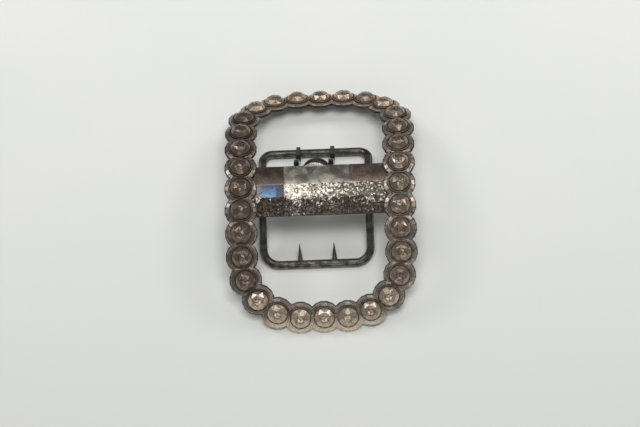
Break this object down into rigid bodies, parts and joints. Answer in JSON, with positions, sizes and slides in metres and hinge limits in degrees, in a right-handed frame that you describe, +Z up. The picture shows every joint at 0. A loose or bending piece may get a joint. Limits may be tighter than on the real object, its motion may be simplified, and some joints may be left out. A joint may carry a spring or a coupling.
{
  "type": "shoe buckle",
  "caption": "Arched rectangular shoe buckle: a frame of faceted round studs, with side plates, a spindle, a spiked strap loop and a two-pronged tongue.",
  "frame": {"origin": "centre of the buckle on the surface that it stands on, under the top of its arch", "axes": "+X along the spindle, to the right of a viewer at the spiked end; +Y along the arch, to the end where the tines rest; +Z up"},
  "size_m": [0.0562, 0.0784, 0.0214],
  "materials": {
    "frame_metal": "tarnished plated frame with cut bevels",
    "cut_studs": "faceted and tarnished, bright on the small flats",
    "plate_metal": "worn, pitted and stained brown, glossy where whole",
    "loop_steel": "dark smooth steel",
    "tongue_steel": "bright worn steel with pits"
  },
  "bodies": {
    "root": {"frame_ring": "frame_metal", "side_plate_left": "plate_metal", "side_plate_right": "plate_metal", "spindle": "loop_steel", "stud_01": "cut_studs", "stud_02": "cut_studs", "stud_03": "cut_studs", "stud_04": "cut_studs", "stud_05": "cut_studs", "stud_06": "cut_studs", "stud_07": "cut_studs", "stud_08": "cut_studs", "stud_09": "cut_studs", "stud_10": "cut_studs", "stud_11": "cut_studs", "stud_12": "cut_studs", "stud_13": "cut_studs", "stud_14": "cut_studs", "stud_15": "cut_studs", "stud_16": "cut_studs", "stud_17": "cut_studs", "stud_18": "cut_studs", "stud_19": "cut_studs", "stud_20": "cut_studs", "stud_21": "cut_studs", "stud_22": "cut_studs", "stud_23": "cut_studs", "stud_24": "cut_studs", "stud_25": "cut_studs", "stud_26": "cut_studs", "stud_27": "cut_studs", "stud_28": "cut_studs", "stud_29": "cut_studs", "stud_30": "cut_studs", "stud_31": "cut_studs", "stud_32": "cut_studs"},
    "strap_loop": {"strap_loop": "loop_steel"},
    "tongue": {"tongue": "tongue_steel"}
  },
  "joints": [
    {"name": "loop_hinge", "type": "hinge", "parent": "root", "child": "strap_loop", "pos_m": [-0.0018, 0, 0.01026], "axis": [1, 0, 0], "range_deg": [-30, 0]},
    {"name": "tongue_hinge", "type": "hinge", "parent": "root", "child": "tongue", "pos_m": [-0.0018, 0, 0.01026], "axis": [1, 0, 0], "range_deg": [0, 45]}
  ]
}
